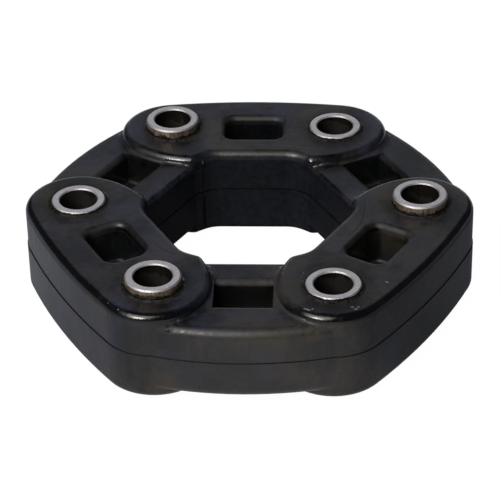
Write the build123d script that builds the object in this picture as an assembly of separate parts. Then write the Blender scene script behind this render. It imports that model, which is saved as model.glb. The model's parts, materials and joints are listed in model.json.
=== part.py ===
from build123d import *
import os
from math import acos, atan2, cos, degrees, pi, radians, sin

# Driveshaft flex disc: a rubber ring moulded over cord loops, with six steel bolt sleeves.
# Millimetres. +Z is the disc's axis, and the origin is on it at mid-height.
# Odd sleeves stand proud on top for one flange, even sleeves below for the other flange.

# Bolt circle
sleeve_count = 6
bolt_circle_radius = 55.0

# Steel sleeves
bore_radius = 6.1
sleeve_radius = 8.75
sleeve_proud = 2.2
sleeve_stagger = 1.25
sleeve_outer_chamfer = 0.45
sleeve_bore_chamfer = 0.35

# Flanged collars pushed on the sleeves, two to a sleeve
collar_wall = 1.0
collar_flange_thickness = 1.2
collar_flange_width = 5.4

# Cord loops wound on the collars
loop_thickness = 5.2
link_loop_height = 10.4
lobe_loop_height = 6.0
loop_gap = 0.5

# Rubber over the loops
end_cover = 2.25
face_cover = 2.2
lobe_outer_cover = 4.2
lobe_inner_cover = 1.7
link_outer_cover = 6.0
link_inner_cover = 2.5
link_step = 3.0
link_setback = 0.6
heel_radius = 30.0
heel_flank_inset = 13.7
heel_flank_angle = 35.0
heel_flank_length = 6.8
heel_root_radius = 9.0
heel_nose_radius = 2.6

# Rounded edges of the moulding
lobe_edge_radius = 2.4
link_outer_edge_radius = 3.0
link_inner_edge_radius = 2.0
link_foot_radius = 0.9

# Pockets, blind from both faces with a web between
web_thickness = 2.4
lobe_pocket_side_wall = 2.9
lobe_pocket_end_wall = 2.6
lobe_pocket_corner_radius = 3.5
lobe_pocket_rim_radius = 1.9
link_pocket_side_wall = 3.3
link_pocket_ledge = 0.2
link_pocket_rim_radius = 2.0
pocket_floor_radius = 1.2

# Mould parting line, and the rubber skirt left round each sleeve
parting_height = 0.6
parting_step = 0.25
skirt_width = 1.1
skirt_height = 0.6

# Worked out from the sizes above
half_pitch = pi / sleeve_count
sleeve_x = bolt_circle_radius * cos(half_pitch)
sleeve_y = bolt_circle_radius * sin(half_pitch)
loop_inner_radius = sleeve_radius + collar_wall
loop_outer_radius = loop_inner_radius + loop_thickness
collar_flange_radius = loop_inner_radius + collar_flange_width
corner_radius = loop_outer_radius + end_cover
lobe_loop_base = link_loop_height / 2 + loop_gap
stack_half_height = lobe_loop_base + lobe_loop_height
lobe_half_height = stack_half_height + collar_flange_thickness + face_cover
link_half_height = lobe_half_height - link_step
inner_flat_half = sleeve_y - heel_flank_inset
sleeve_half_length = lobe_half_height + sleeve_proud
lobe_wall = sleeve_x + loop_outer_radius + lobe_outer_cover
lobe_inner_wall = sleeve_x - loop_outer_radius - lobe_inner_cover
link_wall = sleeve_x + loop_outer_radius + link_outer_cover
link_inner_wall = sleeve_x - loop_outer_radius - link_inner_cover
pitch_degrees = 360 / sleeve_count
lobe_azimuths = [90 + 2 * pitch_degrees * i for i in range(sleeve_count // 2)]
link_azimuths = [azimuth + pitch_degrees for azimuth in lobe_azimuths]


def crown_arc(crown, corner):
    """Outer wall arc through the crown point, tangent to the corner arcs round both sleeves.

    Returns its centre's x, its radius and the half angle that it covers, in degrees.
    """
    rise = crown - sleeve_x
    radius = (rise**2 + sleeve_y**2 - corner**2) / (2 * (rise - corner))
    centre_x = crown - radius
    return centre_x, radius, degrees(atan2(sleeve_y, sleeve_x - centre_x))


def both_sides(edges):
    """The edges and their mirror images across the piece's own centre line."""
    return edges + [mirror(edge, about=Plane.XZ) for edge in edges]


def lobe_face(stand_out):
    """Outline of a lobe on +X, stood out all round by the given amount."""
    corner = corner_radius + stand_out
    heel = heel_radius + stand_out
    centre_x, wall_radius, half_angle = crown_arc(lobe_wall + stand_out, corner)

    # the flank leaves the inner wall and ends at the nose
    flank = Vector(-sin(radians(heel_flank_angle)), cos(radians(heel_flank_angle)))
    root = Vector(lobe_inner_wall - stand_out, inner_flat_half)
    nose = root + flank * heel_flank_length

    # the heel arc runs from the nose and is tangent to the corner arc round the sleeve
    sleeve_axis = Vector(sleeve_x, sleeve_y)
    to_nose = nose - sleeve_axis
    shift = heel - corner
    cosine = (heel**2 - shift**2 - to_nose.length**2) / (2 * shift * to_nose.length)
    join_angle = degrees(atan2(to_nose.Y, to_nose.X)) % 360 - degrees(acos(cosine))
    heel_axis = sleeve_axis - Vector(1, 0).rotate(Axis.Z, join_angle) * shift
    to_nose = nose - heel_axis
    nose_angle = degrees(atan2(to_nose.Y, to_nose.X)) % 360

    sides = both_sides(
        [
            CenterArc(sleeve_axis, corner, half_angle, join_angle - half_angle),
            CenterArc(heel_axis, heel, join_angle, nose_angle - join_angle),
            Line(nose, root),
        ]
    )
    wall = CenterArc((centre_x, 0), wall_radius, -half_angle, 2 * half_angle)
    inner_wall = Line(root, (root.X, -root.Y))
    face = make_face([wall, inner_wall] + sides)
    for point, radius in ((nose, heel_nose_radius), (root, heel_root_radius)):
        for y in (point.Y, -point.Y):
            face = fillet(face.vertices().sort_by_distance((point.X, y))[0], radius)
    return face


def link_face(stand_out):
    """Outline of a link on +X, whose ends lie inside the neighbouring lobes."""
    corner = corner_radius - link_setback + stand_out
    inner = link_inner_wall - stand_out
    centre_x, wall_radius, half_angle = crown_arc(link_wall + stand_out, corner)
    wall = CenterArc((centre_x, 0), wall_radius, -half_angle, 2 * half_angle)
    inner_end = Vector(inner, 0.75 * sleeve_y)
    inner_wall = Line(inner_end, (inner_end.X, -inner_end.Y))
    ends = [Line(wall @ 1, inner_end), Line(wall @ 0, (inner_end.X, -inner_end.Y))]
    return make_face([wall, inner_wall] + ends)


def lobe_pocket():
    """Solid that a lobe's pocket is cut with."""
    half_width = loop_inner_radius - lobe_pocket_side_wall
    half_length = sleeve_y - collar_flange_radius - lobe_pocket_end_wall
    outline = RectangleRounded(2 * half_width, 2 * half_length, lobe_pocket_corner_radius)
    floor = web_thickness / 2
    block = extrude(Pos(sleeve_x, 0, floor) * outline, amount=lobe_half_height - floor)
    return fillet(block.edges().group_by(Axis.Z)[0], pocket_floor_radius)


def link_pocket():
    """Solid that a link's pocket is cut with: upright ends, and sides that flare over both rails."""
    half_width = loop_inner_radius - link_pocket_side_wall
    half_length = sleeve_y - corner_radius - link_foot_radius - link_pocket_ledge
    floor = web_thickness / 2
    flare_base = link_half_height - link_pocket_rim_radius
    flare = CenterArc((half_width + link_pocket_rim_radius, flare_base), link_pocket_rim_radius, 90, 90)
    side = [flare, Line(flare @ 1, (half_width, floor))]
    ends = [Line((half_width, floor), (-half_width, floor)), Line(flare @ 0, (-(flare @ 0).X, link_half_height))]
    profile = make_face(side + [mirror(edge, about=Plane.YZ) for edge in side] + ends)
    block = extrude(Plane.XZ * Pos(sleeve_x, 0) * profile, amount=half_length, both=True)
    return fillet(block.edges().group_by(Axis.Z)[0], pocket_floor_radius)


def lobe_moulding(stand_out, base):
    """One lobe from the given height up to its top face, with its pocket."""
    block = extrude(Pos(0, 0, base) * lobe_face(stand_out), amount=lobe_half_height - base)
    block -= lobe_pocket()
    top = block.faces().sort_by(Axis.Z)[-1]
    block = fillet(top.outer_wire().edges(), lobe_edge_radius)
    top = block.faces().sort_by(Axis.Z)[-1]
    return fillet(top.inner_wires()[0].edges(), lobe_pocket_rim_radius)


def link_moulding(stand_out, base):
    """One link from the given height up to its top face, with its pocket."""
    block = extrude(Pos(0, 0, base) * link_face(stand_out), amount=link_half_height - base)
    block -= link_pocket()
    rails = block.faces().sort_by(Axis.Z)[-1].outer_wire().edges().sort_by(Axis.X)
    block = fillet(rails[-1], link_outer_edge_radius)
    rails = block.faces().sort_by(Axis.Z)[-1].outer_wire().edges().sort_by(Axis.X)
    return fillet(rails[0], link_inner_edge_radius)


def around(piece, azimuths):
    """Copies of a piece turned about the disc's axis."""
    return [Rot(0, 0, azimuth) * piece for azimuth in azimuths]


def mould_third(stand_out, base):
    """A lobe on +X with the near halves of both its links, and its foot rounded into them."""
    near_half = split(link_moulding(stand_out, base), Plane.XZ, keep=Keep.TOP)
    link = Rot(0, 0, pitch_degrees) * near_half
    third = lobe_moulding(stand_out, base) + [link, mirror(link, about=Plane.XZ)]
    level = third.edges().filter_by_position(Axis.Z, link_half_height, link_half_height)
    feet = level.filter_by(GeomType.CIRCLE).filter_by(
        lambda arc: corner_radius - 0.01 < arc.radius - stand_out < heel_radius + 0.01
    )
    return fillet(feet, link_foot_radius)


def mould_half(stand_out, base):
    """One mould half, from the parting line up."""
    thirds = around(mould_third(stand_out, base), lobe_azimuths)
    return thirds[0] + thirds[1:]


def sleeve_places():
    """Number and azimuth of each sleeve."""
    return [(i + 1, i * pitch_degrees) for i in range(sleeve_count)]


def stagger(number):
    """Height of a sleeve's middle: odd sleeves stand up, even ones down."""
    return sleeve_stagger if number % 2 else -sleeve_stagger


def sleeve():
    """Turned steel sleeve with chamfered ends."""
    length = 2 * sleeve_half_length
    tube = Cylinder(sleeve_radius, length) - Cylinder(bore_radius, length)
    rims = tube.edges().filter_by(GeomType.CIRCLE)
    tube = chamfer(rims.filter_by(lambda edge: edge.radius > sleeve_radius - 0.01), sleeve_outer_chamfer)
    rims = tube.edges().filter_by(GeomType.CIRCLE)
    return chamfer(rims.filter_by(lambda edge: edge.radius < bore_radius + 0.01), sleeve_bore_chamfer)


def collar():
    """Upper flanged collar: a hub down to mid-height and a flange over the loops."""
    hub = Pos(0, 0, stack_half_height / 2) * Cylinder(loop_inner_radius, stack_half_height)
    flange_z = stack_half_height + collar_flange_thickness / 2
    flange = Pos(0, 0, flange_z) * Cylinder(collar_flange_radius, collar_flange_thickness)
    height = stack_half_height + collar_flange_thickness
    return hub + flange - Pos(0, 0, height / 2) * Cylinder(sleeve_radius, height)


def loop(height):
    """Cord loop wound round two neighbouring sleeves, lying across +X."""
    pitch = 2 * sleeve_y
    outside = SlotCenterToCenter(pitch, 2 * loop_outer_radius, rotation=90)
    inside = SlotCenterToCenter(pitch, 2 * loop_inner_radius, rotation=90)
    return extrude(Pos(sleeve_x, 0, -height / 2) * (outside - inside), amount=height)


def skirt():
    """Thin ring of rubber drawn up round a sleeve, on the lobe's top face."""
    profile = Polyline(
        (0, lobe_half_height - skirt_height),
        (sleeve_radius + skirt_width, lobe_half_height - skirt_height),
        (sleeve_radius + skirt_width, lobe_half_height),
        (sleeve_radius, lobe_half_height + skirt_height),
        (0, lobe_half_height + skirt_height),
        close=True,
    )
    return revolve(Plane.XZ * make_face(profile), Axis.Z)


def rubber_body(inserts):
    """The moulding, with a cavity for every piece that it was moulded over."""
    lower = mirror(mould_half(parting_step, -parting_height), about=Plane.XY)
    body = mould_half(0, parting_height) + lower
    placed = [Rot(0, 0, azimuth) * Pos(bolt_circle_radius, 0, 0) * skirt() for _, azimuth in sleeve_places()]
    body = body + placed + [mirror(ring, about=Plane.XY) for ring in placed]
    bores = [
        Rot(0, 0, azimuth) * Pos(bolt_circle_radius, 0, 0) * Cylinder(sleeve_radius, 2 * sleeve_half_length)
        for _, azimuth in sleeve_places()
    ]
    return body - (bores + inserts)


def build():
    """Every node by name."""
    nodes = {}
    upper_collar = collar()
    lower_collar = mirror(upper_collar, about=Plane.XY)
    for number, azimuth in sleeve_places():
        place = Rot(0, 0, azimuth) * Pos(bolt_circle_radius, 0, 0)
        nodes[f"sleeve_{number}"] = place * Pos(0, 0, stagger(number)) * sleeve()
        nodes[f"collar_upper_{number}"] = place * upper_collar
        nodes[f"collar_lower_{number}"] = place * lower_collar

    lobe_loop = Pos(0, 0, lobe_loop_base + lobe_loop_height / 2) * loop(lobe_loop_height)
    for i, azimuth in enumerate(lobe_azimuths, start=1):
        nodes[f"lobe_loop_upper_{i}"] = Rot(0, 0, azimuth) * lobe_loop
        nodes[f"lobe_loop_lower_{i}"] = mirror(Rot(0, 0, azimuth) * lobe_loop, about=Plane.XY)
    for i, azimuth in enumerate(link_azimuths, start=1):
        nodes[f"link_loop_{i}"] = Rot(0, 0, azimuth) * loop(link_loop_height)

    inserts = [piece for name, piece in nodes.items() if not name.startswith("sleeve")]
    nodes["rubber_body"] = rubber_body(inserts)
    return nodes


os.makedirs("parts", exist_ok=True)
for name, piece in build().items():
    export_step(piece, f"parts/{name}.step")
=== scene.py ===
import bpy
import bmesh
import json
import math
import random
from types import SimpleNamespace
from mathutils import Matrix, Vector, noise


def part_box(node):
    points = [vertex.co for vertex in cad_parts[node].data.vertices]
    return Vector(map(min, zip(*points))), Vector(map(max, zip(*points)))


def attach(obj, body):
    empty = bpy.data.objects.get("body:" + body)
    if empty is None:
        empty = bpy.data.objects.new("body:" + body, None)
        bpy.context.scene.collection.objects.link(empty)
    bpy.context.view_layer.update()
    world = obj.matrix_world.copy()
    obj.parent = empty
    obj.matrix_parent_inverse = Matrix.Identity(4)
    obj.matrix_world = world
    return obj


# Looks of the driveshaft flex disc: black moulded rubber, ground steel sleeves and a plain studio.
# Everything is in metres in the part's own frame, and every colour is linear red, green and blue.

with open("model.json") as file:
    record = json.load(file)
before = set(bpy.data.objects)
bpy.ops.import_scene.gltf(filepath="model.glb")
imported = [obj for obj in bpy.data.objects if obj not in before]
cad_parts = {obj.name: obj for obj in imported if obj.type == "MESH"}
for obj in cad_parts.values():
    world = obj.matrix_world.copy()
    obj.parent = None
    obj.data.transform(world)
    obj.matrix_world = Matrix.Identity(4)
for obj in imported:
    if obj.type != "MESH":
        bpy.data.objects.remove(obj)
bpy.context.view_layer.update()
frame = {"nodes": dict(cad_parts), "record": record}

MM = 0.001
UP = Vector((0, 0, 1))
PICTURE_PIXELS = 500

bolt_circle = next(m for m in frame["record"]["mounts"] if m["name"] == "bolt_circle")
BOLT_RADIUS = bolt_circle["dims"]["pcd_mm"] / 2 * MM
SLEEVE_NUMBERS = range(1, 7)
SLEEVES = [f"sleeve_{number}" for number in SLEEVE_NUMBERS]
COLLARS = [f"collar_{side}_{number}" for side in ("upper", "lower") for number in SLEEVE_NUMBERS]
LOOPS = [name for name in frame["nodes"] if "loop" in name]
RUBBER = frame["nodes"]["rubber_body"]

# Heights over the middle plane, and places on the moulding
FLOOR_Z = min(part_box(name)[0].z for name in SLEEVES)
RUBBER_OVER_LOOP = 3.4 * MM
LOBE_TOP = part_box("lobe_loop_upper_1")[1].z + RUBBER_OVER_LOOP
LINK_DROP = 3.0 * MM
LINK_TOP = LOBE_TOP - LINK_DROP
LOW_SLEEVE_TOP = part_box("sleeve_2")[1].z
SLEEVE_RADIUS = (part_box("sleeve_1")[1].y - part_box("sleeve_1")[0].y) / 2
PARTING_HEIGHT = 0.6 * MM
LOBES = 3
POCKET_TURN = math.pi / 6
POCKET_RADIUS = BOLT_RADIUS * math.cos(POCKET_TURN)
POCKET_HALF_WIDTH = 6.6 * MM
POCKET_HALF_LENGTH = 9.3 * MM

chance = random.Random(7)


# Shader building

# Sockets of the colour mixing node, and the usual ends of ramps
MIX_SHARE, MIX_FIRST, MIX_SECOND, MIX_RESULT = 0, 6, 7, 2
WHOLE = (0.0, 1.0)
FALLING = (1.0, 0.0)


def fill(tree, node, sockets):
    """Sets a node's sockets to values, or links other sockets to them."""
    for name, value in sockets.items():
        if isinstance(value, bpy.types.NodeSocket):
            tree.links.new(value, node.inputs[name])
        else:
            node.inputs[name].default_value = value
    return node


def add(tree, kind, sockets=None, **settings):
    """A new node with its settings and its sockets filled."""
    node = tree.nodes.new(kind)
    for name, value in settings.items():
        setattr(node, name, value)
    return fill(tree, node, sockets or {})


def sums(tree, operation, *values):
    """Result of a Math node."""
    return add(tree, "ShaderNodeMath", dict(enumerate(values)), operation=operation).outputs[0]


def times(tree, first, *factors):
    """Product of numbers and sockets."""
    for factor in factors:
        first = sums(tree, "MULTIPLY", first, factor)
    return first


def plus(tree, first, second):
    return sums(tree, "ADD", first, second)


def minus(tree, first, second):
    return sums(tree, "SUBTRACT", first, second)


def most(tree, first, second):
    return sums(tree, "MAXIMUM", first, second)


def size_of(tree, value):
    return sums(tree, "ABSOLUTE", value)


def ramp(tree, value, span, ends=WHOLE):
    """The value remapped from the span to the ends, with soft ends."""
    low, high = span
    bottom, top = ends
    sockets = {"Value": value, "From Min": low, "From Max": high, "To Min": bottom, "To Max": top}
    return add(tree, "ShaderNodeMapRange", sockets, interpolation_type="SMOOTHSTEP").outputs["Result"]


def blend(tree, share, first, second):
    """Two colours mixed by a share, which may be a number or a socket."""
    sockets = {MIX_SHARE: share, MIX_FIRST: first, MIX_SECOND: second}
    return add(tree, "ShaderNodeMix", sockets, data_type="RGBA").outputs[MIX_RESULT]


def cloud(tree, place, scale, detail=3.0, roughness=0.5):
    """Noise value at a place."""
    sockets = {"Vector": place, "Scale": scale, "Detail": detail, "Roughness": roughness}
    return add(tree, "ShaderNodeTexNoise", sockets).outputs["Fac"]


def vector_sums(tree, operation, output, *vectors):
    """Result of a Vector Math node."""
    node = add(tree, "ShaderNodeVectorMath", dict(enumerate(vectors)), operation=operation)
    return node.outputs[output]


def stretched(tree, place, factors):
    """A place with each axis scaled, for streaks."""
    return vector_sums(tree, "MULTIPLY", "Vector", place, factors)


def split(tree, vector):
    """The X, Y and Z of a vector."""
    part = add(tree, "ShaderNodeSeparateXYZ", {0: vector}).outputs
    return part["X"], part["Y"], part["Z"]


def own_place(tree):
    """The place on the surface, in the object's own frame."""
    return add(tree, "ShaderNodeTexCoord").outputs["Object"]


def spaced(sockets):
    """Sockets by their labels, with spaces where keywords have underscores."""
    return {name.replace("_", " "): value for name, value in sockets.items()}


def new_effect(name, **inputs):
    """An empty node group with the named number inputs, and the sockets that give them inside."""
    tree = bpy.data.node_groups.new(name, "ShaderNodeTree")
    for label, value in spaced(inputs).items():
        socket = tree.interface.new_socket(label, in_out="INPUT", socket_type="NodeSocketFloat")
        socket.default_value = value
    return tree, tree.nodes.new("NodeGroupInput").outputs


def put_out(tree, values):
    """The node group, with its values put out by name."""
    for label in values:
        tree.interface.new_socket(label, in_out="OUTPUT", socket_type="NodeSocketFloat")
    fill(tree, tree.nodes.new("NodeGroupOutput"), values)
    return tree


def use(tree, group, **inputs):
    """The outputs of a placed node group."""
    node = tree.nodes.new("ShaderNodeGroup")
    node.node_tree = group
    return fill(tree, node, spaced(inputs)).outputs


def nearest_of_six(tree, place, first_azimuth, radius):
    """How far a place is outwards and across from the nearest of six spots on a circle, and its reach."""
    x, y, _ = split(tree, place)
    pitch = math.tau / len(SLEEVES)
    azimuth = minus(tree, sums(tree, "ARCTAN2", y, x), first_azimuth)
    nearest = times(tree, sums(tree, "ROUND", sums(tree, "DIVIDE", azimuth, pitch)), pitch)
    turned = minus(tree, azimuth, nearest)
    reach = sums(tree, "SQRT", plus(tree, times(tree, x, x), times(tree, y, y)))
    along = minus(tree, times(tree, reach, sums(tree, "COSINE", turned)), radius)
    across = times(tree, reach, sums(tree, "SINE", turned))
    return along, across, reach


# Effects that the materials share

def make_sleeve_space():
    """Distance from the nearest sleeve's axis in millimetres, and how far the surface faces up."""
    tree, _ = new_effect("sleeve_space")
    coords = add(tree, "ShaderNodeTexCoord").outputs
    along, across, _ = nearest_of_six(tree, coords["Object"], 0.0, BOLT_RADIUS)
    square = plus(tree, times(tree, along, along), times(tree, across, across))
    _, _, upright = split(tree, coords["Normal"])
    distance = sums(tree, "DIVIDE", sums(tree, "SQRT", square), MM)
    return put_out(tree, {"Distance": distance, "Upright": upright})


def pocket_zones(tree, height, in_link, past_side, past_end):
    """The walls of the pockets, and the rounded rims over them."""
    edge = (0.1 * MM, 0.7 * MM)
    below_top = (0.9 * MM, 2.6 * MM)
    rim_edge = (1.2 * MM, 2.2 * MM)
    outside = most(tree, past_side, past_end)
    local_top = minus(tree, LOBE_TOP, times(tree, in_link, LINK_DROP))
    depth = minus(tree, local_top, size_of(tree, height))
    pocket = times(tree, ramp(tree, outside, edge, FALLING), ramp(tree, depth, below_top))
    rim = minus(tree, ramp(tree, outside, rim_edge, FALLING), pocket)
    return {"Pocket": pocket, "Rim": rim}


def lobe_zones(tree, over_link, facing, upright):
    """The lobes' rounded outer edges, the edges of their heels, and the feet on the links."""
    lobe_edge_height = (0.3 * MM, 1.0 * MM)
    foot_start = (0.0, 0.1 * MM)
    foot_end = (0.9 * MM, 1.2 * MM)
    outwards = (0.1, 0.4)
    past_inwards = (-0.95, -0.6)
    before_outwards = (-0.1, 0.2)
    nearly_level = (0.9, 0.98)
    high = ramp(tree, over_link, lobe_edge_height)
    sideways = times(tree, ramp(tree, facing, past_inwards), ramp(tree, facing, before_outwards, FALLING))
    sloped = ramp(tree, upright, nearly_level, FALLING)
    foot = times(tree, ramp(tree, over_link, foot_start), ramp(tree, over_link, foot_end, FALLING))
    return {
        "Lobe Edge": times(tree, ramp(tree, facing, outwards), high),
        "Heel Edge": times(tree, sideways, sloped, high),
        "Foot": times(tree, foot, sloped),
    }


def link_zones(tree, over_link, facing, upright, in_link, past_end):
    """The links' outer edges by the lobes, those edges' very ends, and the walls towards the hole."""
    end_start = (10.5 * MM, 12.5 * MM)
    end_heights = (-3.6 * MM, -2.6 * MM)
    top_edge = (0.0, 0.1 * MM)
    tip_start = (13.2 * MM, 14.0 * MM)
    inside_heights = (-3.0 * MM, -2.2 * MM)
    outwards = (0.0, 0.2)
    tilted_up = (0.06, 0.2)
    inwards = (-0.2, -0.02)
    end = times(
        tree,
        ramp(tree, past_end, end_start, (0.3, 1.0)),
        in_link,
        ramp(tree, over_link, end_heights),
        ramp(tree, facing, outwards),
        ramp(tree, upright, tilted_up),
        ramp(tree, over_link, top_edge, FALLING),
    )
    inner_face = times(tree, ramp(tree, facing, inwards, FALLING), in_link)
    return {
        "Link End": end,
        "Link Tip": ramp(tree, past_end, tip_start),
        "Link Inside": times(tree, inner_face, ramp(tree, over_link, inside_heights)),
    }


def make_zones():
    """Where on the moulding a point lies, as masks."""
    link_start = (0.0, 0.15)
    hole_reach = (0.76 * BOLT_RADIUS, 0.82 * BOLT_RADIUS)
    hole_facing = (-0.7, -0.2)
    tree, _ = new_effect("zones")
    coords = add(tree, "ShaderNodeTexCoord").outputs
    place, normal = coords["Object"], coords["Normal"]
    along, across, reach = nearest_of_six(tree, place, POCKET_TURN, POCKET_RADIUS)
    past_side = minus(tree, size_of(tree, along), POCKET_HALF_WIDTH)
    past_end = minus(tree, size_of(tree, across), POCKET_HALF_LENGTH)
    x, y, height = split(tree, place)
    azimuth = sums(tree, "ARCTAN2", y, x)
    in_link = ramp(tree, sums(tree, "SINE", times(tree, azimuth, LOBES)), link_start)
    over_link = minus(tree, height, LINK_TOP)

    flat_place = stretched(tree, place, (1.0, 1.0, 0.0))
    outwards = vector_sums(tree, "NORMALIZE", "Vector", flat_place)
    facing = vector_sums(tree, "DOT_PRODUCT", "Value", normal, outwards)
    _, _, upright = split(tree, normal)

    by_hole = ramp(tree, reach, hole_reach, FALLING)
    hole_wall = times(tree, ramp(tree, facing, hole_facing, FALLING), by_hole)
    return put_out(tree, {
        "Hole Wall": hole_wall,
        **pocket_zones(tree, height, in_link, past_side, past_end),
        **lobe_zones(tree, over_link, facing, upright),
        **link_zones(tree, over_link, facing, upright, in_link, past_end),
    })


def make_fine_grain():
    """Height of a fine moulded or ground grain, in two sizes."""
    tree, given = new_effect("fine_grain", Coarse_Scale=400.0, Fine_Scale=2500.0, Fine_Share=0.4)
    place = own_place(tree)
    coarse = cloud(tree, place, given["Coarse Scale"], detail=4.0, roughness=0.55)
    fine = cloud(tree, place, given["Fine Scale"], detail=2.0, roughness=0.6)
    return put_out(tree, {"Height": plus(tree, coarse, times(tree, fine, given["Fine Share"]))})


def make_specks():
    """Mask of sparse small specks, such as dust, that gather in patches."""
    patch_edge = (0.42, 0.6)
    tree, given = new_effect("specks", Scale=700.0, Size=0.12, Rarity=0.6)
    place = own_place(tree)
    cells = add(tree, "ShaderNodeTexVoronoi", {"Vector": place, "Scale": given["Scale"]}).outputs
    pick = add(tree, "ShaderNodeSeparateColor", {0: cells["Color"]}).outputs
    chosen = sums(tree, "GREATER_THAN", pick[0], given["Rarity"])
    size = times(tree, given["Size"], pick[1])
    dot = sums(tree, "LESS_THAN", cells["Distance"], size)
    patch = ramp(tree, cloud(tree, place, scale=60.0), patch_edge)
    return put_out(tree, {"Mask": times(tree, dot, chosen, patch)})


def make_patina():
    """Slow blotches, fine mottling and upright streaks that vary a finish over the surface."""
    mottles_per_blotch = 9.0
    upright_stretch = (1.0, 1.0, 0.08)
    wide_contrast = (0.3, 0.7)
    mottle_contrast = (0.32, 0.68)
    tree, given = new_effect("patina", Blotch_Scale=40.0, Streak_Scale=500.0)
    place = own_place(tree)
    mottle_scale = times(tree, given["Blotch Scale"], mottles_per_blotch)
    blotch = cloud(tree, place, given["Blotch Scale"], detail=5.0, roughness=0.6)
    mottle = cloud(tree, place, mottle_scale, detail=6.0, roughness=0.75)
    streak = cloud(tree, stretched(tree, place, upright_stretch), given["Streak Scale"], roughness=0.6)
    return put_out(tree, {
        "Blotch": ramp(tree, blotch, wide_contrast),
        "Mottle": ramp(tree, mottle, mottle_contrast),
        "Streak": ramp(tree, streak, wide_contrast),
    })


sleeve_space = make_sleeve_space()
zones = make_zones()
fine_grain = make_fine_grain()
specks = make_specks()
patina = make_patina()


# Camera and studio

def new_object(name, data):
    made = bpy.data.objects.new(name, data)
    bpy.context.scene.collection.objects.link(made)
    return made


# Softboxes: name, azimuth and elevation in degrees, distance, width and height in metres, power in
# watts, colour, whether matt surfaces see them, and whether glossy ones do
SOFTBOXES = (
    ("key_front_left", 236, 50, 1.4, 1.0, 0.9, 12, (1.0, 0.98, 0.95), True, True),
    ("key_core", 239, 33, 1.4, 0.42, 0.3, 14, (1.0, 0.97, 0.92), False, True),
    ("back_card", 92, 33, 1.4, 0.95, 0.7, 0.62, (0.88, 0.91, 1.06), True, True),
    ("back_strip", 92, 7, 1.4, 1.1, 0.2, 0.9, (0.95, 0.97, 1.0), False, True),
    ("overhead", 90, 88, 1.6, 0.5, 0.5, 2, (1.0, 1.0, 1.0), True, False),
)

# Painted reflection: how bright the floor glows in the disc's reflections, in front of it, at its two
# sides, close by and far off
FLOOR_FRONT = 0.8
FLOOR_LEFT = 0.42
FLOOR_RIGHT = 0.16
FLOOR_NEAR = 0.04
FLOOR_FAR = 0.4


def make_camera():
    """The photograph's viewpoint, found from the six sleeve rings."""
    elevation = math.radians(33.27)
    turn = math.radians(2.71)
    roll = math.radians(-1.24)
    distance = 13.505 * BOLT_RADIUS
    shift_right = 0.0010 * BOLT_RADIUS
    shift_up = -0.2953 * BOLT_RADIUS
    focal_pixels = 2308.8
    sensor_width = 36

    spin = Matrix.Rotation(turn, 3, "Z")
    right = spin @ Vector((1, 0, 0))
    back = spin @ Vector((0, -math.cos(elevation), math.sin(elevation)))
    up = back.cross(right)
    place = back * distance + right * shift_right + up * shift_up + Vector((0, 0, LOW_SLEEVE_TOP))
    rolled_right = math.cos(roll) * right + math.sin(roll) * up
    rolled_up = -math.sin(roll) * right + math.cos(roll) * up

    lens = bpy.data.cameras.new("camera")
    lens.sensor_width = sensor_width
    lens.lens = sensor_width * focal_pixels / PICTURE_PIXELS
    lens.clip_start = 10 * MM
    camera = new_object("camera", lens)
    turned = Matrix((rolled_right, rolled_up, back)).transposed()
    camera.matrix_world = Matrix.Translation(place) @ turned.to_4x4()
    bpy.context.scene.camera = camera


def make_softbox(name, azimuth, elevation, distance, width, height, power, colour, matt, gloss):
    """An area lamp that faces the disc."""
    data = bpy.data.lights.new(name, "AREA")
    data.shape = "RECTANGLE"
    data.size = width
    data.size_y = height
    data.energy = power
    data.color = colour
    lamp = new_object(name, data)
    turn = math.radians(azimuth)
    tilt = math.radians(elevation)
    towards = Vector((math.cos(tilt) * math.cos(turn), math.cos(tilt) * math.sin(turn), math.sin(tilt)))
    lamp.location = towards * distance
    lamp.rotation_euler = towards.to_track_quat("Z", "Y").to_euler()
    lamp.visible_diffuse = matt
    lamp.visible_glossy = gloss


def make_world():
    """Dim grey room, seen by the disc alone: the camera sees only the floor."""
    world = bpy.data.worlds.new("studio")
    bpy.context.scene.world = world
    world.use_nodes = True
    background = world.node_tree.nodes["Background"]
    background.inputs["Color"].default_value = (0.86, 0.9, 1.0, 1)
    background.inputs["Strength"].default_value = 0.07


def painted_floor_reflection(tree, side, reach):
    """How bright the floor glows in reflections, as painted reflection: the disc's own shade painted
    close by, and darker on the right.
    """
    close_by = (0.6 * BOLT_RADIUS, 1.5 * BOLT_RADIUS)
    far_off = (2.2 * BOLT_RADIUS, 5.0 * BOLT_RADIUS)
    left_side = (-1.0, -0.1)
    right_side = (0.2, 0.95)
    left_part = ramp(tree, side, left_side, (FLOOR_LEFT, FLOOR_FRONT))
    right_part = ramp(tree, side, right_side, (1.0, FLOOR_RIGHT / FLOOR_FRONT))
    open_floor = times(tree, ramp(tree, reach, far_off), FLOOR_FAR)
    lit = most(tree, times(tree, left_part, right_part), open_floor)
    return times(tree, lit, ramp(tree, reach, close_by, (FLOOR_NEAR, 1.0)))


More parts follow.
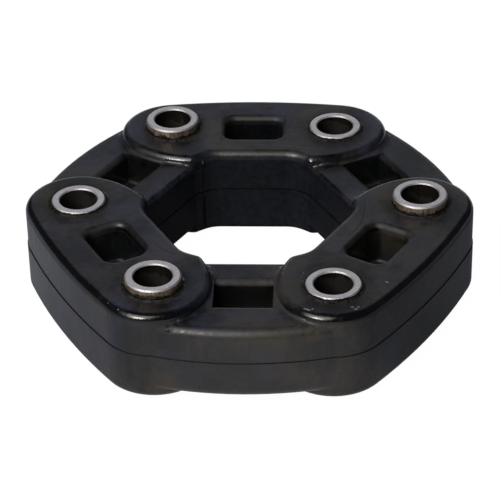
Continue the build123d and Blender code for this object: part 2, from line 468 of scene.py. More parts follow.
def make_floor_material():
    """Pale floor, white to the camera and in reflections, with the disc's soft shadow kept."""
    floor_grey = (0.82, 0.82, 0.82, 1)
    white = (1, 1, 1, 1)
    warm_front = (1.0, 0.975, 0.95, 1)
    cool_sides = (0.9, 0.94, 1.06, 1)
    seen_strength = 1.06
    seen_share = 0.93
    to_the_sides = (0.1, 0.9)

    material = bpy.data.materials.new("pale_floor")
    material.use_nodes = True
    tree = material.node_tree
    tree.nodes.clear()
    matt = add(tree, "ShaderNodeBsdfDiffuse", {"Color": floor_grey})
    place = own_place(tree)
    reach = vector_sums(tree, "LENGTH", "Value", place)
    across, _, _ = split(tree, place)
    side = sums(tree, "DIVIDE", across, most(tree, reach, MM))
    path = add(tree, "ShaderNodeLightPath").outputs
    seen = most(tree, path["Is Camera Ray"], path["Is Transmission Ray"])
    mirrored = path["Is Glossy Ray"]

    # painted reflection: in the disc's reflections the floor glows brighter or darker by where it lies,
    # warmer in front and cooler to the sides
    shown = times(tree, painted_floor_reflection(tree, side, reach), mirrored)
    strength = plus(tree, times(tree, seen, seen_strength), shown)
    sideways = ramp(tree, size_of(tree, side), to_the_sides)
    tint = blend(tree, sideways, warm_front, cool_sides)
    tint = blend(tree, minus(tree, 1.0, mirrored), tint, white)
    glow = add(tree, "ShaderNodeEmission", {"Color": tint, "Strength": strength})
    share = most(tree, times(tree, seen, seen_share), mirrored)
    mixed = add(tree, "ShaderNodeMixShader", {0: share, 1: matt.outputs[0], 2: glow.outputs[0]})
    add(tree, "ShaderNodeOutputMaterial", {"Surface": mixed.outputs[0]})
    return material


def make_floor():
    """A wide floor that the low sleeves stand on."""
    half = 6.0
    corners = [(-half, -half, 0), (half, -half, 0), (half, half, 0), (-half, half, 0)]
    mesh = bpy.data.meshes.new("floor")
    mesh.from_pydata(corners, [], [(0, 1, 2, 3)])
    mesh.materials.append(make_floor_material())
    floor = new_object("floor", mesh)
    floor.location.z = FLOOR_Z


def make_studio():
    """The room, the floor and the lamps."""
    make_world()
    make_floor()
    for row in SOFTBOXES:
        make_softbox(*row)


# Materials

def new_material(name, **finish):
    """A material with one Principled shader, whose plain values are given, with its tree."""
    material = bpy.data.materials.new(name)
    material.use_nodes = True
    tree = material.node_tree
    shader = fill(tree, tree.nodes["Principled BSDF"], spaced(finish))
    return material, tree, shader


def bumped(tree, shader, height, strength, distance):
    """Gives the shader its relief."""
    bump = add(tree, "ShaderNodeBump", {"Height": height, "Strength": strength, "Distance": distance})
    fill(tree, shader, {"Normal": bump.outputs["Normal"]})


def read_rubber(tree):
    """What the rubber's colour and its roughness both follow: places, zones, patina, marks and painted
    shade.
    """
    # in millimetres from the sleeve's axis
    ring_edge = (7.2, 9.8)
    halo_edge = (8.5, 13.5)
    skirt_edge = (9.8, 10.3)
    ragged_by = 3.2
    # in metres over the parting step
    corner_foot = (-0.05 * MM, -0.01 * MM)
    corner_top = (0.3 * MM, 0.7 * MM)
    top_tilt = (0.25, 0.9)
    skirt_share = 0.9
    patch_contrast = (0.3, 0.5)
    patch_shares = (0.6, 1.0)

    at = SimpleNamespace()
    space = use(tree, sleeve_space)
    at.zone = use(tree, zones)
    age = use(tree, patina, Blotch_Scale=55.0, Streak_Scale=420.0)
    at.blotch, at.mottle, at.streak = age["Blotch"], age["Mottle"], age["Streak"]
    at.facing_up = ramp(tree, space["Upright"], top_tilt)
    at.place = own_place(tree)
    _, _, at.height = split(tree, at.place)

    # oil that crept out round each sleeve, and the sleeve's skirt, which takes painted shade
    ragged = times(tree, cloud(tree, at.place, scale=260.0, detail=4.0, roughness=0.6), ragged_by)
    reach = minus(tree, space["Distance"], ragged)
    at.ring = times(tree, ramp(tree, reach, ring_edge, FALLING), at.facing_up)
    at.halo = times(tree, ramp(tree, reach, halo_edge, FALLING), at.facing_up)
    at.skirt = times(tree, ramp(tree, space["Distance"], skirt_edge, FALLING), skirt_share)

    # painted shade: a dark line fills the corner over the parting step, in patches
    over_step = minus(tree, at.height, PARTING_HEIGHT)
    corner = times(tree, ramp(tree, over_step, corner_foot), ramp(tree, over_step, corner_top, FALLING))
    patchy = ramp(tree, cloud(tree, at.place, scale=300.0), patch_contrast, patch_shares)
    at.grime = times(tree, corner, patchy)
    at.dust = use(tree, specks, Scale=620.0, Size=0.13, Rarity=0.8)["Mask"]
    return at


def rubber_colour(tree, at):
    """Bluish to olive bloom on top, browner rubbed walls, and the marks over them, with painted shade in
    the hole, the pockets, on the lobes' outer edges, over the parting step and on the sleeves' skirts.
    """
    bare_top = (0.0008, 0.0008, 0.0014, 1)
    bare_wall = (0.001, 0.001, 0.0012, 1)
    blue_bloom = (0.019, 0.0235, 0.047, 1)
    olive_bloom = (0.036, 0.031, 0.023, 1)
    purple_bloom = (0.034, 0.0285, 0.045, 1)
    blue_rubbed = (0.009, 0.0125, 0.03, 1)
    brown_rubbed = (0.042, 0.0315, 0.016, 1)
    purple_rubbed = (0.04, 0.0235, 0.026, 1)
    streak_grey = (0.02, 0.0195, 0.021, 1)
    hole_dark = (0.01, 0.0112, 0.016, 1)
    hole_pale = (0.02, 0.0222, 0.03, 1)
    pocket_shade_green = (0.0075, 0.009, 0.0083, 1)
    edge_shade_black = (0.0012, 0.0012, 0.0014, 1)
    grime_black = (0.0006, 0.0006, 0.0006, 1)
    oil_brown = (0.02, 0.016, 0.011, 1)
    skirt_shade_dark = (0.0045, 0.004, 0.0032, 1)
    rim_brown = (0.03, 0.024, 0.018, 1)
    dust_grey = (0.2, 0.185, 0.17, 1)
    upright_squash = (1.0, 1.0, 1.6)
    drift_contrast = (0.35, 0.65)
    purple_contrast = (0.5, 0.68)
    dull_contrast = (0.18, 0.88)
    edge_shade_contrast = (0.55, 1.0)
    pocket_depths = (5.0 * MM, 12.5 * MM)

    # bloom and handling marks
    drift = ramp(tree, cloud(tree, at.place, scale=38.0), drift_contrast)
    squashed = stretched(tree, at.place, upright_squash)
    purple = ramp(tree, cloud(tree, squashed, scale=62.0), purple_contrast)
    dull = plus(tree, times(tree, at.blotch, 0.68), times(tree, at.mottle, 0.32))
    dull = ramp(tree, dull, dull_contrast)
    bloom = blend(tree, drift, blue_bloom, olive_bloom)
    bloom = blend(tree, times(tree, purple, 0.65), bloom, purple_bloom)
    rubbed = blend(tree, drift, blue_rubbed, brown_rubbed)
    rubbed = blend(tree, times(tree, purple, 0.75), rubbed, purple_rubbed)
    top = blend(tree, dull, bare_top, bloom)
    wall = blend(tree, dull, bare_wall, rubbed)
    wall = blend(tree, times(tree, at.streak, 0.4), wall, streak_grey)
    # painted shade: the walls in the hole, which stand in shade, take their own bluish tone
    wall = blend(tree, at.zone["Hole Wall"], wall, blend(tree, at.mottle, hole_dark, hole_pale))
    colour = blend(tree, at.facing_up, wall, top)
    # painted shade: the pockets darken towards their depths
    pocket_shade_share = ramp(tree, size_of(tree, at.height), pocket_depths, (0.95, 0.5))
    colour = blend(tree, times(tree, at.zone["Pocket"], pocket_shade_share), colour, pocket_shade_green)

    # painted shade on the lobes' outer edges and over the parting step, oil, painted shade on the skirts,
    # browned rims and dust, one over the other
    # painted shade: the lobes' rounded outer edges are darkened to a black band
    edge_shade_share = ramp(tree, at.mottle, edge_shade_contrast, (0.97, 0.78))
    colour = blend(tree, times(tree, at.zone["Lobe Edge"], edge_shade_share), colour, edge_shade_black)
    # painted shade in the corner over the parting step
    colour = blend(tree, at.grime, colour, grime_black)
    colour = blend(tree, times(tree, at.ring, 0.85), colour, oil_brown)
    # painted shade: the skirt round each sleeve is darkened
    colour = blend(tree, at.skirt, colour, skirt_shade_dark)
    browned = times(tree, at.zone["Rim"], at.facing_up, at.mottle, 0.4)
    colour = blend(tree, browned, colour, rim_brown)
    return blend(tree, times(tree, at.dust, 0.3), colour, dust_grey)


def rubber_roughness(tree, at):
    """Satin all over, duller where it is soiled or worn, and shinier where it was handled."""
    floor_depth = (2.2 * MM, 3.4 * MM)
    satin = (0.25, 0.31)
    wear_contrast = (0.35, 0.6)
    wear_shares = (0.5, 1.15)
    tip_wear = 0.92
    break_contrast = (0.42, 0.6)
    shiny_to_dull = (-1.0, 0.15)
    near_middle = ramp(tree, size_of(tree, at.height), floor_depth, FALLING)
    pocket_floor = times(tree, at.zone["Pocket"], near_middle)
    fine = cloud(tree, at.place, scale=750.0, detail=4.0)
    wear = ramp(tree, fine, wear_contrast, wear_shares)
    even = times(tree, at.zone["Link Tip"], minus(tree, tip_wear, wear))
    worn = times(tree, at.zone["Link End"], plus(tree, wear, even))
    breaks = ramp(tree, cloud(tree, at.place, scale=900.0), break_contrast, shiny_to_dull)
    broken_skirt = times(tree, at.skirt, breaks)

    rough = plus(tree, ramp(tree, at.blotch, WHOLE, satin), times(tree, at.mottle, 0.05))
    shares = (
        (at.streak, 0.05),
        (at.ring, 0.3),
        (at.halo, 0.25),
        (broken_skirt, 0.45),
        (at.zone["Pocket"], -0.14),
        (pocket_floor, 0.25),
        (at.zone["Rim"], 0.24),
        (at.zone["Lobe Edge"], -0.13),
        (at.zone["Heel Edge"], 0.08),
        (at.zone["Foot"], 0.22),
        (worn, 0.55),
        (at.zone["Link Inside"], -0.2),
        (at.grime, -0.05),
        (at.dust, 0.3),
    )
    for mask, share in shares:
        rough = plus(tree, rough, times(tree, mask, share))
    return sums(tree, "MINIMUM", rough, 1.0)


def make_rubber():
    """Black moulded rubber of the disc."""
    material, tree, shader = new_material("moulded_rubber", Specular_IOR_Level=0.5)
    at = read_rubber(tree)
    fill(tree, shader, {"Base Color": rubber_colour(tree, at), "Roughness": rubber_roughness(tree, at)})
    grain = use(tree, fine_grain, Coarse_Scale=330.0, Fine_Scale=2200.0, Fine_Share=0.35)
    swell = times(tree, cloud(tree, at.place, scale=45.0, detail=2.0), 2.5)
    bumped(tree, shader, plus(tree, grain["Height"], swell), strength=0.85, distance=0.09 * MM)
    return material


def sleeve_outside(tree, place, age):
    """Stained outside wall of a sleeve with its grime by the rubber, and the grime's own mask."""
    streak_dark = (0.3, 0.205, 0.14, 1)
    streak_pale = (0.74, 0.585, 0.46, 1)
    stain_brown = (0.095, 0.066, 0.045, 1)
    grime_brown = (0.03, 0.022, 0.016, 1)
    broad_contrast = (0.3, 0.7)
    broad_reach = (-3.0 * MM, 1.0 * MM)
    ragged_by = 2.2 * MM
    grime_edge = (-0.6 * MM, 0.3 * MM)

    outside = blend(tree, age["Streak"], streak_dark, streak_pale)
    outside = blend(tree, times(tree, age["Mottle"], 0.7), outside, stain_brown)
    _, _, height = split(tree, place)
    broad = ramp(tree, cloud(tree, place, scale=170.0, detail=2.0), broad_contrast, broad_reach)
    fine = cloud(tree, place, scale=700.0, detail=4.0, roughness=0.65)
    ragged = plus(tree, broad, times(tree, fine, ragged_by))
    over_top = minus(tree, size_of(tree, height), LOBE_TOP)
    grime = ramp(tree, minus(tree, over_top, ragged), grime_edge, (0.9, 0.0))
    return blend(tree, grime, outside, grime_brown), grime


def sleeve_face(tree, age, scratch, rounded):
    """Ground ring face of a sleeve, darker on its rounded edges as painted shade."""
    ground_dark = (0.78, 0.765, 0.8, 1)
    ground_pale = (0.975, 0.96, 1.0, 1)
    mottle_grey = (0.45, 0.43, 0.435, 1)
    blotch_brown = (0.52, 0.48, 0.46, 1)
    edge_shade_grey = (0.34, 0.32, 0.32, 1)
    rust_brown = (0.2, 0.13, 0.08, 1)

    face = blend(tree, scratch, ground_dark, ground_pale)
    face = blend(tree, times(tree, age["Mottle"], 0.6), face, mottle_grey)
    face = blend(tree, times(tree, age["Blotch"], 0.2), face, blotch_brown)
    # painted shade: the rounded edges are darkened, which tones down their highlights
    face = blend(tree, times(tree, rounded, 0.7), face, edge_shade_grey)
    rust = use(tree, specks, Scale=1500.0, Size=0.3, Rarity=0.8)["Mask"]
    return blend(tree, times(tree, rust, 0.6), face, rust_brown)


def make_sleeve_steel():
    """Sleeve steel: ground ring faces, browned bore, stained outside wall."""
    bore_dark = (0.014, 0.0124, 0.0088, 1)
    bore_pale = (0.04, 0.0352, 0.025, 1)
    bore_stain = (0.008, 0.0068, 0.0046, 1)
    # in millimetres from the sleeve's axis
    bore_edge = (6.15, 6.3)
    scratch_stretch = (1.0, 0.06, 1.0)
    face_tilt = (0.3, 0.6)
    level_tilt = (0.95, 0.995)
    scratch_contrast = (0.25, 0.75)
    smooth_to_rough = (0.34, 0.62)
    clean_metal = 0.92

    material, tree, shader = new_material("sleeve_steel", Specular_IOR_Level=0.5)
    space = use(tree, sleeve_space)
    age = use(tree, patina, Blotch_Scale=190.0, Streak_Scale=1300.0)
    place = own_place(tree)
    tilt = size_of(tree, space["Upright"])
    flat = ramp(tree, tilt, face_tilt)
    level = ramp(tree, tilt, level_tilt)
    rounded = times(tree, flat, minus(tree, 1.0, level))
    bore = ramp(tree, space["Distance"], bore_edge, FALLING)
    along_scratch = stretched(tree, place, scratch_stretch)
    scratch = cloud(tree, along_scratch, scale=2600.0, detail=4.0, roughness=0.7)

    outside, grime = sleeve_outside(tree, place, age)
    inside = blend(tree, times(tree, age["Streak"], 0.4), bore_dark, bore_pale)
    inside = blend(tree, times(tree, age["Blotch"], 0.4), inside, bore_stain)
    side = blend(tree, bore, outside, inside)
    colour = blend(tree, flat, side, sleeve_face(tree, age, scratch, rounded))

    soiled = plus(tree, 0.1, times(tree, grime, 0.6))
    dull = times(tree, minus(tree, 1.0, flat), soiled)
    dull = plus(tree, dull, times(tree, level, 0.32))
    rough = ramp(tree, scratch, scratch_contrast, smooth_to_rough)
    rough = plus(tree, rough, times(tree, most(tree, bore, rounded), 0.1))
    metal = minus(tree, clean_metal, dull)
    fill(tree, shader, {"Base Color": colour, "Metallic": metal, "Roughness": rough})

    grain = use(tree, fine_grain, Coarse_Scale=900.0, Fine_Scale=5200.0, Fine_Share=0.5)
    bumped(tree, shader, plus(tree, grain["Height"], scratch), strength=0.35, distance=0.03 * MM)
    return material


def make_collar_steel():
    """Pressed steel of the hidden collars, with a phosphated grey skin."""
    dark_grey = (0.28, 0.28, 0.29, 1)
    pale_grey = (0.42, 0.42, 0.43, 1)
    material, tree, shader = new_material("collar_steel", Metallic=0.85)
    age = use(tree, patina, Blotch_Scale=260.0, Streak_Scale=1400.0)
    colour = blend(tree, age["Blotch"], dark_grey, pale_grey)
    rough = ramp(tree, age["Streak"], WHOLE, (0.38, 0.55))
    fill(tree, shader, {"Base Color": colour, "Roughness": rough})
    grain = use(tree, fine_grain, Coarse_Scale=700.0, Fine_Scale=4200.0)
    bumped(tree, shader, grain["Height"], strength=0.3, distance=0.03 * MM)
    return material


def make_cord():
    """Wound cord of the hidden loops: turns side by side, in tan yarn."""
    groove_tan = (0.2, 0.165, 0.11, 1)
    yarn_tan = (0.52, 0.45, 0.33, 1)
    stain_brown = (0.12, 0.1, 0.08, 1)
    material, tree, shader = new_material("wound_cord", Specular_IOR_Level=0.3)
    waves = {"Vector": own_place(tree), "Scale": 480.0, "Distortion": 1.2, "Detail": 2.0}
    wave = add(tree, "ShaderNodeTexWave", waves, wave_type="BANDS", bands_direction="Z")
    turns = wave.outputs["Fac"]
    age = use(tree, patina, Blotch_Scale=180.0, Streak_Scale=900.0)
    colour = blend(tree, turns, groove_tan, yarn_tan)
    colour = blend(tree, times(tree, age["Blotch"], 0.4), colour, stain_brown)
    rough = ramp(tree, turns, WHOLE, (0.85, 0.65))
    fill(tree, shader, {"Base Color": colour, "Roughness": rough})
    grain = use(tree, fine_grain, Coarse_Scale=1200.0, Fine_Scale=5000.0)
    relief = plus(tree, turns, times(tree, grain["Height"], 0.3))
    bumped(tree, shader, relief, strength=0.8, distance=0.25 * MM)
    return material


def make_torn_rubber(name, shine, dark, pale, roughness, blotches, grain, relief):
    """Rubber of small ragged bits, mottled between two tones."""
    material, tree, shader = new_material(name, Specular_IOR_Level=shine)
    age = use(tree, patina, Blotch_Scale=blotches)
    colour = blend(tree, age["Mottle"], dark, pale)
    rough = ramp(tree, age["Blotch"], WHOLE, roughness)
    fill(tree, shader, {"Base Color": colour, "Roughness": rough})
    coarse, fine = grain
    grain = use(tree, fine_grain, Coarse_Scale=coarse, Fine_Scale=fine)
    bumped(tree, shader, grain["Height"], strength=0.6, distance=relief)
    return material


def make_dirt_and_shade_rubber(name, pale, shine):
    """Dark rubber of the ragged bits at joints: dirty on the sleeve lips, and dark as painted shade on
    the parting flash and the crease lines.
    """
    return make_torn_rubber(
        name, shine, dark=(0.0018, 0.0016, 0.0014, 1), pale=pale, roughness=(0.42, 0.62),
        blotches=240.0, grain=(900.0, 4200.0), relief=0.08 * MM,
    )


def make_scuffed_rubber():
    """Pale torn rubber of small scuffs."""
    return make_torn_rubber(
        "scuffed_rubber", shine=0.4, dark=(0.16, 0.16, 0.165, 1), pale=(0.5, 0.49, 0.48, 1),
        roughness=(0.35, 0.6), blotches=700.0, grain=(1500.0, 6000.0), relief=0.06 * MM,
    )


def dress(names, material):
    """Gives the disc's own nodes their material."""
    for name in names:
        for slot in frame["nodes"][name].material_slots:
            slot.material = material


# Outlines of the moulding, and skins of added pieces

def cut_loops(height):
    """Every closed outline of the moulding at a height."""
    same_point = 0.0005 * MM
    same_cut_point = 0.005 * MM
    fewest_points = 8
    cut = bmesh.new()
    cut.from_mesh(RUBBER.data)
    bmesh.ops.remove_doubles(cut, verts=cut.verts, dist=same_point)
    everything = cut.verts[:] + cut.edges[:] + cut.faces[:]
    bmesh.ops.bisect_plane(
        cut, geom=everything, plane_co=(0, 0, height), plane_no=UP, clear_inner=True, clear_outer=True
    )
    bmesh.ops.remove_doubles(cut, verts=cut.verts, dist=same_cut_point)
    walked = set()
    loops = []
    for start in cut.verts:
        loop = []
        ahead = [] if start in walked else [start]
        while ahead:
            vert = ahead[0]
            walked.add(vert)
            loop.append(Vector((vert.co.x, vert.co.y, 0)))
            ahead = [e.other_vert(vert) for e in vert.link_edges if e.other_vert(vert) not in walked]
        loops.append(loop)
    cut.free()
    return [loop for loop in loops if len(loop) > fewest_points]


def winding(loop):
    """Angle that a closed outline turns round the axis, in radians."""
    total = 0.0
    for first, second in zip(loop, loop[1:] + loop[:1]):
        total += math.atan2(first.cross(second).z, first.dot(second))
    return total


def outlines(height):
    """The outlines at a height that go round the disc's axis: round the hole, then outside."""
    nearly_round = 6
    round_axis = [loop for loop in cut_loops(height) if abs(winding(loop)) > nearly_round]
    return sorted(round_axis, key=lambda loop: max(p.length for p in loop))


def evenly(loop, spacing):
    """Points at even steps along a closed outline, counter-clockwise."""
    if winding(loop) < 0:
        loop = loop[::-1]
    closed = loop + loop[:1]
    lengths = [(b - a).length for a, b in zip(closed, closed[1:])]
    count = round(sum(lengths) / spacing)
    step = sum(lengths) / count
    points = []
    walked = 0.0
    index = 0
    for number in range(count):
        target = number * step
        while walked + lengths[index] < target:
            walked += lengths[index]
            index += 1
        share = (target - walked) / lengths[index]
        points.append(closed[index].lerp(closed[index + 1], share))
    return points


def outwards_at(points, index):
    """The level way out of a closed counter-clockwise outline, at one of its points."""
    along = (points[(index + 1) % len(points)] - points[index - 1]).normalized()
    return Vector((along.y, -along.x, 0))


def wander(place, scale, seed=0.0):
    """Smooth noise from 0 to 1 along a line of places."""
    offset = Vector((seed, 3.1 * seed, 0))
    return 0.5 + 0.5 * noise.noise(place * scale + offset)


def skin(name, rings, closed, material):
    """A closed skin through rings of points, which rides on the disc."""
    size = len(rings[0])
    points = [point for ring in rings for point in ring]
    spans = len(rings) if closed else len(rings) - 1
    faces = []
    for first in range(spans):
        a, b = first * size, (first + 1) % len(rings) * size
        faces += [(a + j, a + (j + 1) % size, b + (j + 1) % size, b + j) for j in range(size)]
    if not closed:
        faces += [tuple(range(size))[::-1], tuple(range(len(points) - size, len(points)))]
    mesh = bpy.data.meshes.new(name)
    mesh.from_pydata(points, [], faces)
    facing_out = bmesh.new()
    facing_out.from_mesh(mesh)
    bmesh.ops.recalc_face_normals(facing_out, faces=facing_out.faces)
    facing_out.to_mesh(mesh)
    facing_out.free()
    mesh.shade_smooth()
    mesh.materials.append(material)
    piece = new_object(name, mesh)
    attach(piece, "root")


def ridge(name, path, out, width, height, material):
    """A low rounded ridge along a path on a surface that faces the given way."""
    steps = 40
    narrowest_end = 0.02
    least_width = 0.7
    uneven_width = 0.6
    shoulder_across = 0.3
    shoulder_height = 0.8
    sunk = out * 0.02 * MM
    a, b, c = path
    rings = []
    for step in range(steps + 1):
        t = step / steps
        # a parabola through all three points, and its direction
        point = a * (2 * t - 1) * (t - 1) + b * 4 * t * (1 - t) + c * t * (2 * t - 1)
        ahead = a * (4 * t - 3) + b * (4 - 8 * t) + c * (4 * t - 1)
        side = ahead.normalized().cross(out)
        swell = math.sin(math.pi * min(max(t, narrowest_end), 1 - narrowest_end)) ** 0.5
        wide = side * width * swell * (least_width + uneven_width * wander(point, scale=500))
        tall = out * height * swell
        rings.append([
            point - wide / 2 - sunk,
            point - wide * shoulder_across + tall * shoulder_height,
            point + tall,
            point + wide * shoulder_across + tall * shoulder_height,
            point + wide / 2 - sunk,
        ])
    skin(name, rings, False, material)


# Flash at the parting line, and lips round the sleeves

# Name, 1 to grow outwards or -1 into the hole, narrowest width in millimetres, and size
FLASHES = (
    ("hole_flash", -1, 0.23, 0.5),
    ("outer_flash", 1, 0.12, 0.7),
)


def make_parting_flash(material):
    """Ragged flash left in the corner over the parting step, in the hole and outside."""
    spacing = 0.55 * MM
    tucked = 0.08 * MM
    sunk = UP * 0.05 * MM
    cut_height = PARTING_HEIGHT + 0.4 * MM
    uneven_width = 0.16
    least_height = 0.10
    uneven_height = 0.34
    shoulder_across = 0.8
    shoulder_height = 0.5
    for (name, side, narrowest, size), loop in zip(FLASHES, outlines(cut_height)):
        points = evenly(loop, spacing)
        rings = []
        for index, point in enumerate(points):
            out = outwards_at(points, index) * side
            wide = (narrowest + size * uneven_width * wander(point, scale=260, seed=1.0)) * MM
            tall = size * (least_height + uneven_height * wander(point, scale=420, seed=2.0)) * MM
            base = point + UP * PARTING_HEIGHT
            rings.append([
                base - out * tucked - sunk,
                base + out * wide - sunk,
                base + out * wide * shoulder_across + UP * tall * shoulder_height,
                base - out * tucked + UP * tall,
            ])
        skin(name, rings, True, material)


def make_sleeve_lip(name, foot_middle, up, seed, highest, material):
    """Ragged lip of rubber drawn up round one end of a sleeve."""
    steps = 220
    tucked = 0.05 * MM
    foot_height = 0.45 * MM
    foot_width = 0.12 * MM
    neck_height = 0.1 * MM
    top_height = 0.15 * MM
    top_width = 0.03 * MM
    least_rise = 0.05
    bare_below = 0.33
    least_thick = 0.16
    uneven_thick = 0.22
    broad_share = 0.6
    rings = []
    for step in range(steps):
        turn = math.tau * step / steps
        out = Vector((math.cos(turn), math.sin(turn), 0))
        foot = foot_middle + out * SLEEVE_RADIUS
        broad = wander(foot, 300, seed)
        fine = wander(foot, 1100, seed)
        rough = broad * broad_share + fine * (1 - broad_share)
        rise = (highest * max(0.0, rough - bare_below) + least_rise) * MM
        thick = (least_thick + uneven_thick * wander(foot, 700, seed + 9)) * MM
        base = foot + up * foot_height
        rings.append([
            base - out * tucked,
            base + out * (thick + foot_width),
            base + out * thick + up * (neck_height + rise / 2),
            base + out * top_width + up * (top_height + rise),
            base - out * tucked + up * neck_height,
        ])
    skin(name, rings, True, material)


def make_sleeve_lips():
    """Lips round both ends of every sleeve, higher where a sleeve stands proud."""
    proud_end = LOBE_TOP + 2 * MM
    proud_lip = 2.9
    flush_lip = 0.9
    matt = make_dirt_and_shade_rubber("matt_rubber", pale=(0.015, 0.012, 0.009, 1), shine=0.15)
    for number in SLEEVE_NUMBERS:
        low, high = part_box(f"sleeve_{number}")
        middle = (low + high) / 2
        for side, label, end in ((1, "top", high.z), (-1, "under", -low.z)):
            foot_middle = Vector((middle.x, middle.y, side * LOBE_TOP))
            highest = proud_lip if end > proud_end else flush_lip
            make_sleeve_lip(f"sleeve_lip_{number}_{label}", foot_middle, UP * side, number, highest, matt)


# Sweeps that carry the lobes' ends down onto the links

SWEEP_HEIGHT = 1.4 * MM
SWEEP_WIDTH = 3.0 * MM
NARROWEST_SWEEP = 0.5 * MM
FEWEST_SWEEP_POINTS = 8
SWEEP_SPACING = 0.5 * MM


def lobe_outlines():
    """Each lobe's outline at the top of the sweeps, as even points, in order round the axis."""
    lobe_reach = 25 * MM
    lobes = []
    for loop in cut_loops(LINK_TOP + SWEEP_HEIGHT):
        middle = sum(loop, Vector()) / len(loop)
        around = [point - middle for point in loop]
        if max(point.length for point in around) > lobe_reach:
            points = [point + middle for point in evenly(around, SWEEP_SPACING)]
            lobes.append((math.atan2(middle.y, middle.x), points))
    return [points for _, points in sorted(lobes, key=lambda lobe: lobe[0])]


def link_reach(point, out):
    """How far a link's flat top runs on outwards from a lobe's outline, up to the sweep's width."""
    step = 0.25 * MM
    over_lobe = UP * (LOBE_TOP + 5 * MM)
    slack = 0.04 * MM
    reach = 0.0
    while reach < SWEEP_WIDTH:
        hit, spot, _, _ = RUBBER.ray_cast(point + out * (reach + step) + over_lobe, -UP)
        if not hit or spot.z < LINK_TOP - slack:
            break
        reach += step
    return reach


def sweep_widths(points, outs):
    """Width of the sweep at each point of a lobe's outline, smoothed along it."""
    reaches = [link_reach(point, out) for point, out in zip(points, outs)]
    widths = []
    for index in range(len(reaches)):
        nearby = [reaches[(index + shift) % len(reaches)] for shift in range(-2, 3)]
        widths.append(sum(nearby) / len(nearby))
    return widths


def sweep_runs(widths):
    """Runs of neighbouring points of an outline where there is room for a sweep."""
    count = len(widths)
    first = widths.index(0)
    runs = [[]]
    for shift in range(count):
        index = (first + shift) % count
        if widths[index] > NARROWEST_SWEEP:
            runs[-1].append(index)
        else:
            runs.append([])
    return [run for run in runs if len(run) > FEWEST_SWEEP_POINTS]


def sweep_ring(base, out, wide, tall):
    """Section of a sweep: tucked into the wall, down a quarter arc, and sunk into the link."""
    arc_steps = 8
    deep_in_wall = 0.5 * MM
    in_wall = 0.13 * MM
    over_arc = 0.3 * MM
    behind_wall = 0.03 * MM
    toe = 0.15 * MM
    under_toe = 0.03 * MM
    sunk = UP * 0.1 * MM
    ring = [base - out * deep_in_wall - sunk, base - out * in_wall + UP * (tall + over_arc)]
    for part in range(arc_steps + 1):
        turn = math.pi / 2 * part / arc_steps
        across = wide * (1 - math.cos(turn)) - behind_wall
        ring.append(base + out * across + UP * tall * (1 - math.sin(turn)))
    ring.append(base + out * (wide + toe) - UP * under_toe)
    ring.append(base + out * wide - sunk)
    return ring


def make_foot_sweeps(material):
    """Soft concave sweeps at both ends of every lobe."""
    fade_steps = 5
    end_width = 0.4
    end_height = 0.3
    full_height_width = 0.6 * SWEEP_WIDTH
    number = 0
    for points in lobe_outlines():
        outs = [outwards_at(points, index) for index in range(len(points))]
        widths = sweep_widths(points, outs)
        for run in sweep_runs(widths):
            number += 1
            rings = []
            for place, index in enumerate(run):
                from_end = min(place, len(run) - 1 - place) + 0.5
                fade = min(1.0, from_end / fade_steps)
                wide = widths[index] * (end_width + (1 - end_width) * fade)
                tall = SWEEP_HEIGHT * min(1.0, wide / full_height_width)
                tall *= end_height + (1 - end_height) * fade
                rings.append(sweep_ring(points[index] + UP * LINK_TOP, outs[index], wide, tall))
            skin(f"foot_sweep_{number}", rings, False, material)


# Small marks on the moulding

# Flow lines on the lobes' tops: each lobe's azimuth in degrees, and millimetres outwards and across
FLOW_LINES = {
    90: ((36.5, 12.3), (34.7, -15.5), (30.8, -17.6)),
    210: ((37.0, 5.5), (35.7, 12.8), (32.6, 16.5)),
    330: ((30.7, 21.5), (36.5, 8.9), (37.3, -1.4)),
}

# Where the photograph shows the crease: pixels across and down to its top
CREASE_TOP = (202.5, 163.0)

# Where the photograph shows scuffs: pixels across and down, length and width in millimetres
SCUFFS = [
    (305.5, 309, 1.6, 0.45),
    (308.5, 310, 1.3, 0.6),
    (312.5, 309, 1, 0.4),
    (352.5, 307, 1.2, 0.4),
    (356, 309, 1.5, 0.5),
    (358.5, 307, 0.7, 0.4),
    (387, 282, 1.5, 0.4),
    (118, 309.5, 0.7, 0.35),
    (108, 303, 0.6, 0.3),
    (204.5, 305, 0.6, 0.4),
    (45.5, 264.5, 0.5, 0.35),
    (183.5, 280, 0.3, 0.5),
    (184.5, 286, 0.3, 0.4),
    (123, 282.5, 0.3, 0.5),
    (124.5, 288, 0.35, 0.35),
    (303.5, 273, 0.3, 0.4),
    (66, 199.5, 0.6, 0.25),
]


def make_flow_lines(material):
    """Faint lines where the rubber's flow met, on the tops by the hole."""
    for azimuth, points in FLOW_LINES.items():
        spin = Matrix.Rotation(math.radians(azimuth), 3, "Z")
        path = [spin @ Vector((x * MM, y * MM, LOBE_TOP)) for x, y in points]
        ridge(f"flow_line_{azimuth}", path, UP, width=0.45 * MM, height=0.07 * MM, material=material)


def under_pixel(across, down):
    """The spot on the moulding that a pixel of the photograph shows, and the way it faces."""
    camera = bpy.context.scene.camera
    lens = camera.data
    right = (across / PICTURE_PIXELS - 0.5) * lens.sensor_width
    up = (0.5 - down / PICTURE_PIXELS) * lens.sensor_width
    ahead = camera.matrix_world.to_3x3() @ Vector((right, up, -lens.lens)).normalized()
    _, spot, normal, _ = RUBBER.ray_cast(camera.matrix_world.translation, ahead)
    return spot, normal


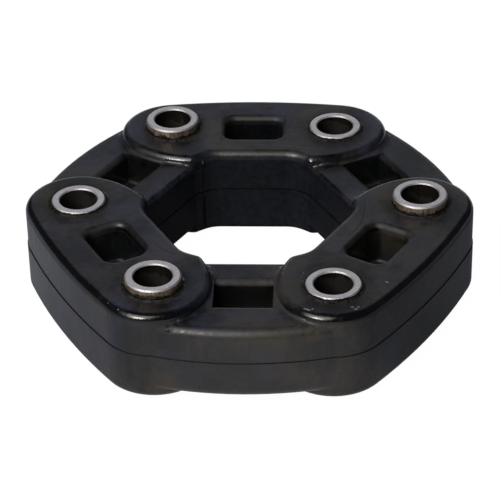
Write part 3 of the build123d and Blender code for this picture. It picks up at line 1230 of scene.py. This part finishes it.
def make_crease(glossy, matt):
    """An upright mould crease on the back lobe's wall in the hole: a shiny drip, and dark lines of
    painted shade.
    """
    sunk = 0.02 * MM
    lower_half_step = 0.25 * MM
    # name, millimetres from the lobe's top down to its foot and its head, width and height, material
    parts = (
        ("crease_drip", 4.6, 1.9, 0.9, 0.95, glossy),
        ("crease_above", 13.6, 4.4, 0.55, 0.12, matt),
        ("crease_below", 29.0, 14.9, 1.3, 0.10, matt),
    )
    spot, normal = under_pixel(*CREASE_TOP)
    out = Vector((normal.x, normal.y, 0)).normalized()
    for name, lowest, highest, width, height, material in parts:
        bottom = Vector((spot.x, spot.y, LOBE_TOP - lowest * MM)) - out * sunk
        top = Vector((spot.x, spot.y, LOBE_TOP - highest * MM)) - out * sunk
        if bottom.z < 0:
            bottom += out * lower_half_step
            top += out * lower_half_step
        ridge(name, [bottom, (top + bottom) / 2, top], out, width * MM, height * MM, material)


def make_scuffs():
    """Small torn flecks on the edges and tops."""
    pale = make_scuffed_rubber()
    sides = 9
    most_turned = 0.5
    least_reach = 0.65
    uneven_reach = 0.5
    # millimetres over the surface, and share of the full size there
    layers = ((-0.03, 1.0), (0.03, 0.9), (0.07, 0.45))
    camera_right = bpy.context.scene.camera.matrix_world.to_3x3().col[0]
    for number, (across, down, length, width) in enumerate(SCUFFS, start=1):
        spot, normal = under_pixel(across, down)
        right = (camera_right - normal * camera_right.dot(normal)).normalized()
        right = Matrix.Rotation(chance.uniform(-most_turned, most_turned), 3, normal) @ right
        rise = normal.cross(right)
        rings = []
        for lift, share in layers:
            ring = []
            for side in range(sides):
                turn = math.tau * side / sides
                uneven = wander(spot + right * side * MM, 900, number)
                reach = share * (least_reach + uneven_reach * uneven)
                flat = right * math.cos(turn) * length / 2 + rise * math.sin(turn) * width / 2
                ring.append(spot + flat * reach * MM + normal * lift * MM)
            rings.append(ring)
        skin(f"scuff_{number}", rings, False, pale)


make_camera()
make_studio()
rubber = make_rubber()
# painted shade: this darker, duller rubber makes the parting flash and the crease's lines read as dark
# lines
shade_rubber = make_dirt_and_shade_rubber("painted_shade_rubber", pale=(0.014, 0.013, 0.012, 1), shine=0.12)
make_crease(rubber, shade_rubber)
make_scuffs()
make_parting_flash(shade_rubber)
make_sleeve_lips()
make_flow_lines(rubber)
make_foot_sweeps(rubber)
dress(["rubber_body"], rubber)
dress(SLEEVES, make_sleeve_steel())
dress(COLLARS, make_collar_steel())
dress(LOOPS, make_cord())

bpy.context.scene.view_settings.view_transform = "Standard"
